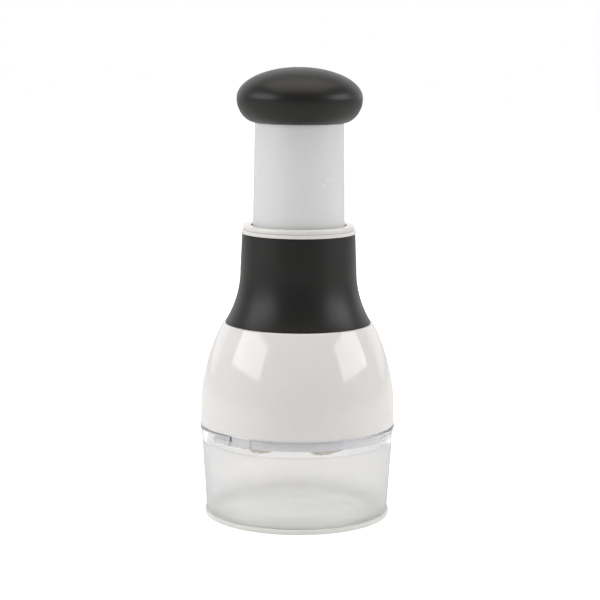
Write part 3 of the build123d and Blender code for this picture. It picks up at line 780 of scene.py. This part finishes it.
# %% Bell
neck_in = GRIP_WALL + GRIP_FIT
bell_foot = cup_high.z + RIM_GAP
under_shelf = SHELF - BELL_WALL
skirt_bore = SKIRT_RADIUS - SKIRT_WALL
neck_bore = NECK_TOP - NECK_WALL
bell_outline = [(skirt_bore, bell_low.z), (SKIRT_RADIUS, bell_low.z), (SKIRT_RADIUS, bell_foot),
                (BELL_RADIUS, bell_foot)]
bell_outline += curve(shoulder, STRAIGHT_TOP, SHELF, count=44)
bell_outline += curve(lambda z: flare(z, neck_in), SHELF, WAIST, count=10)
bell_outline += [(NECK_TOP, grip_high.z), (neck_bore, grip_high.z), (neck_bore, WAIST)]
bell_outline += curve(lambda z: flare(z, neck_in + NECK_WALL), WAIST, under_shelf, count=8)
bell_outline += curve(lambda z: shoulder(z, BELL_WALL), under_shelf, STRAIGHT_TOP, count=16)
bell_outline += [(skirt_bore, bell_foot + SKIRT_WALL), (skirt_bore, bell_low.z)]
bell_shell = lathe("bell_shell", bell_outline, steps=GLOSS_STEPS)
round_rims(bell_shell, [(SHELF_RADIUS, SHELF)], width=0.5 * MM)
round_rims(bell_shell, [(BELL_RADIUS, bell_foot)], width=0.35 * MM, segments=3)

# %% [markdown]
# The lugs are short bent blocks. One is made by spinning a flat face through a small angle, and
# the other two are copies, a third of a turn apart. They are joined to the bell, because they are
# part of the same moulding.

# %% Lugs
LUG_COUNT = 3
LUG_START = -57.9
LUG_SWEEP = 13.3
LUG_HEIGHT = 2.0 * MM
LUG_REACH = 1.4 * MM


def bent_block(name, inner, outer, low, high, start, sweep, steps=10):
    """A block bent round Z from an azimuth, counted from -Y towards +X, over a sweep in degrees."""
    clear_selection()
    middle = ((inner + outer) / 2, 0, (low + high) / 2)
    bpy.ops.mesh.primitive_plane_add(size=1, location=middle, rotation=(pi / 2, 0, 0))
    block = bpy.context.object
    bpy.ops.object.mode_set(mode="EDIT")
    bpy.ops.transform.resize(value=(outer - inner, 1, high - low))
    bpy.ops.object.mode_set(mode="OBJECT")
    block.matrix_world = Matrix.Rotation(radians(start - 90), 4, "Z") @ block.matrix_world
    bpy.ops.object.mode_set(mode="EDIT")
    bpy.ops.mesh.select_all(action="SELECT")
    bpy.ops.mesh.spin(steps=steps, angle=-radians(sweep), center=(0, 0, 0), axis=(0, 0, 1))
    return finish_mesh(block, name)


def ring_of_blocks(name, count, inner, outer, low, high, start, sweep):
    """Equal bent blocks round the axis, joined into one object."""
    turns = [start + 360 * i / count for i in range(count)]
    blocks = [bent_block(name, inner, outer, low, high, turn, sweep) for turn in turns]
    clear_selection()
    for block in blocks:
        block.select_set(True)
    bpy.context.view_layer.objects.active = blocks[0]
    bpy.ops.object.join()
    return bpy.context.object


lugs = ring_of_blocks(
    "lugs", LUG_COUNT, SKIRT_RADIUS - SKIRT_WALL / 2, SKIRT_RADIUS + LUG_REACH,
    bell_low.z, bell_low.z + LUG_HEIGHT, start=LUG_START, sweep=LUG_SWEEP,
)
clear_selection()
lugs.select_set(True)
bell_shell.select_set(True)
bpy.context.view_layer.objects.active = bell_shell
bpy.ops.object.join()
bell_shell.data.materials.append(white_gloss)
bell_shell.data.materials.append(skirt_painted_bright)
# the skirt below the bell's foot gets the brighter copy of the white, painted light over its shade
for face in bell_shell.data.polygons:
    face.material_index = 1 if face.center.z < bell_foot else 0
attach(bell_shell, "housing")
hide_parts("housing_bell")
print("bell with lugs, faces:", len(bell_shell.data.polygons))

# %% [markdown]
# ## The cup
# The cup is a tapered tube, open at both ends, with a thicker bead round its rim. Three slots are
# cut into the inside of the rim: each opens upwards, then runs sideways, and a lug of the bell
# turns into it. The slots are cut with boolean modifiers, as a mould core would leave them.

# %% Cup sizes
CUP_FOOT_RADIUS = 44.21 * MM
CUP_RIM_RADIUS = 47.06 * MM
CUP_WALL = 2.2 * MM
BEAD_HEIGHT = 2.4 * MM
BEAD_PROUD = 0.35 * MM
FOOT_CHAMFER = 0.15 * MM
BAND_HEIGHT = 7.9 * MM
BAND_STEP = 0.08 * MM
# the rim's top edge gets painted shade: a darker, bluer copy of the clear plastic
PAINTED_RIM_HEIGHT = 0.5 * MM          # height of the edge that shows as a fine tinted line
SLOT_CLEARANCE = 0.22 * MM
CHANNEL_START = -58.0
CHANNEL_SWEEP = 29.5
ENTRY_SWEEP = 14.5


def cup_side(height):
    """Outside of the tapered wall."""
    share = (height - cup_low.z) / (cup_high.z - cup_low.z)
    return CUP_FOOT_RADIUS + (CUP_RIM_RADIUS - CUP_FOOT_RADIUS) * share


# %% Cup
BEAD = cup_high.z - BEAD_HEIGHT
BAND = cup_high.z - BAND_HEIGHT
cup_outline = [
    (cup_side(cup_low.z) - CUP_WALL, cup_low.z),
    (cup_side(cup_low.z) - FOOT_CHAMFER, cup_low.z),
    (cup_side(cup_low.z + FOOT_CHAMFER), cup_low.z + FOOT_CHAMFER),
    (cup_side(BAND) - BAND_STEP, BAND - BAND_STEP),
    (cup_side(BAND), BAND),
    (cup_side(BEAD), BEAD),
    (BEAD_RADIUS, BEAD + BEAD_PROUD),
    (BEAD_RADIUS, cup_high.z),
    (cup_side(cup_high.z) - CUP_WALL, cup_high.z),
    (cup_side(BAND) - CUP_WALL, BAND),
    (cup_side(cup_low.z) - CUP_WALL, cup_low.z),
]
cup_body = lathe("cup_body", cup_outline, steps=GLOSS_STEPS)
round_rims(cup_body, [(BEAD_RADIUS, cup_high.z)], width=0.6 * MM)


# %% Slots
def cut(piece, tool):
    """Take the tool's shape out of the piece."""
    clear_selection()
    piece.select_set(True)
    bpy.context.view_layer.objects.active = piece
    knife = piece.modifiers.new("cut", "BOOLEAN")
    knife.operation = "DIFFERENCE"
    knife.solver = "EXACT"
    knife.object = tool
    bpy.ops.object.modifier_apply(modifier=knife.name)
    bpy.data.objects.remove(tool)


slot_outer = SKIRT_RADIUS + LUG_REACH + SLOT_CLEARANCE
slot_low = bell_low.z - SLOT_CLEARANCE
channel_top = bell_low.z + LUG_HEIGHT + SLOT_CLEARANCE
entry_start = CHANNEL_START + CHANNEL_SWEEP - ENTRY_SWEEP
channels = ring_of_blocks("channels", LUG_COUNT, skirt_bore, slot_outer, slot_low, channel_top,
                          start=CHANNEL_START, sweep=CHANNEL_SWEEP)
cut(cup_body, channels)
entries = ring_of_blocks("entries", LUG_COUNT, skirt_bore, slot_outer, slot_low, cup_high.z + MM,
                         start=entry_start, sweep=ENTRY_SWEEP)
cut(cup_body, entries)
bpy.ops.object.shade_smooth_by_angle(angle=radians(SMOOTH_BELOW))

cup_body.data.materials.append(clear_band)
cup_body.data.materials.append(frosted_wall)
cup_body.data.materials.append(rim_painted_shade)
for face in cup_body.data.polygons:
    # painted shade on the rim's top edge
    if face.center.z > cup_high.z - PAINTED_RIM_HEIGHT:
        face.material_index = 2
    elif face.center.z < BAND - BAND_STEP:
        face.material_index = 1
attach(cup_body, "cup")
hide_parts("cup")
print("cup faces:", len(cup_body.data.polygons))

# %% [markdown]
# ## The base
# The base is a shallow cap that plugs into the cup's foot. Only its rounded lip shows from
# outside, under a fine dark gap. It is one closed outline that starts and ends on the axis.

# %% Base
LIP_TOP = cup_low.z
FLOOR = 3.0 * MM
PLUG_CLEARANCE = 0.15 * MM
PLUG_WALL = 2.0 * MM
FOOT_WIDTH = 5.5 * MM

base_low, base_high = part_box("cup_base")
foot_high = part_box("base_foot")[1]
plug = cup_side(cup_low.z) - CUP_WALL - PLUG_CLEARANCE
foot_inner = foot_high.x - FOOT_WIDTH
base_outline = [
    (0, base_low.z), (foot_inner, base_low.z), (foot_inner, foot_high.z), (foot_high.x, foot_high.z),
    (foot_high.x, base_low.z), (base_high.x, base_low.z), (base_high.x, LIP_TOP), (plug, LIP_TOP),
    (plug, base_high.z), (plug - PLUG_WALL, base_high.z), (plug - PLUG_WALL, FLOOR), (0, FLOOR),
]
base_cap = lathe("base_cap", base_outline)
round_rims(base_cap, [(base_high.x, LIP_TOP)], width=0.6 * MM, segments=5)
round_rims(base_cap, [(base_high.x, base_low.z)], width=1.1 * MM, segments=5)
round_rims(base_cap, [(plug, base_high.z), (plug - PLUG_WALL, base_high.z)], width=0.5 * MM, segments=3)
base_cap.data.materials.append(frosted_base)
base_cap.data.materials.append(milky_floor)
for face in base_cap.data.polygons:
    if hypot(face.center.x, face.center.y) < plug:
        face.material_index = 1
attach(base_cap, "base")
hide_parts("cup_base")

# %% [markdown]
# ## The return spring
# The spring is hidden inside the tube, and the real one shortens as the knob comes down. A wire
# section is swept by a screw modifier, one lap at a time, and both ends are then closed. It stands
# on the guide plate.

# %% Spring
SPRING_WIRE = 1.6 * MM
SPRING_TURNS = 14
WIRE_SIDES = 12
TURN_STEPS = 36

coil_low, coil_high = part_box("return_spring")
coil_height = coil_high.z - coil_low.z - SPRING_WIRE
clear_selection()
bpy.ops.mesh.primitive_circle_add(
    vertices=WIRE_SIDES, radius=SPRING_WIRE / 2, fill_type="NOTHING",
    location=(coil_high.x - SPRING_WIRE / 2, 0, coil_low.z + SPRING_WIRE / 2), rotation=(pi / 2, 0, 0),
)
spring = bpy.context.object
bpy.ops.object.transform_apply(location=True, rotation=True, scale=True)
lap = spring.modifiers.new("lap", "SCREW")
lap.axis = "Z"
lap.steps = TURN_STEPS
lap.render_steps = TURN_STEPS
lap.iterations = SPRING_TURNS
lap.screw_offset = coil_height / SPRING_TURNS
lap.use_merge_vertices = False
bpy.ops.object.modifier_apply(modifier=lap.name)
bpy.ops.object.mode_set(mode="EDIT")
bpy.ops.mesh.select_mode(type="EDGE")
bpy.ops.mesh.select_all(action="DESELECT")
bpy.ops.mesh.select_non_manifold()
bpy.ops.mesh.fill_holes(sides=WIRE_SIDES)
spring = finish_mesh(spring, "coil_spring", smooth_below=40)
spring.data.materials.append(bright_steel)
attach(spring, "housing")
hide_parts("return_spring")
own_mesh(spring)
